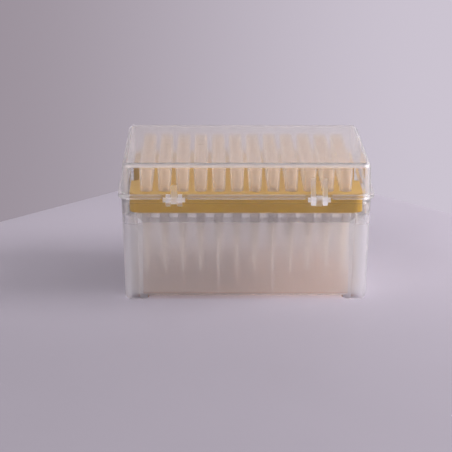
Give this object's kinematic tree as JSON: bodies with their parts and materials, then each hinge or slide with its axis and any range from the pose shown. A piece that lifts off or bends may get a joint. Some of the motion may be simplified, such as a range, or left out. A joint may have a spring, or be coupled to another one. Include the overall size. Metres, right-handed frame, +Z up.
{
  "type": "pipette tip box",
  "caption": "Hinged translucent storage box with a lift-out rack that holds pipette tips upright over a deep base, under a flanged lid with a front latch tongue.",
  "frame": {"origin": "on the table under the middle of the closed box", "axes": "+X along the long side with the twelve tip columns, +Z up, hinges on the -Y side and latch on the +Y side"},
  "size_m": [0.1264, 0.0954, 0.0709],
  "materials": {
    "base_plastic": "natural frosted polypropylene",
    "lid_plastic": "natural clear polypropylene, lightly polished",
    "rack_plastic": "satin moulded, warm yellow",
    "tip_plastic": "natural polypropylene, thin wall"
  },
  "bodies": {
    "base": {"base_box": "base_plastic", "tip_rack": "rack_plastic", "tips_column_01": "tip_plastic", "tips_column_02": "tip_plastic", "tips_column_03": "tip_plastic", "tips_column_04": "tip_plastic", "tips_column_05": "tip_plastic", "tips_column_06": "tip_plastic", "tips_column_07": "tip_plastic", "tips_column_08": "tip_plastic", "tips_column_09": "tip_plastic", "tips_column_10": "tip_plastic", "tips_column_11": "tip_plastic", "tips_column_12": "tip_plastic"},
    "lid": {"lid": "lid_plastic"}
  },
  "joints": [
    {"name": "lid_hinge", "type": "hinge", "parent": "base", "child": "lid", "pos_m": [0, -0.0449, 0.0538], "axis": [1, 0, 0], "range_deg": [0, 205]}
  ]
}
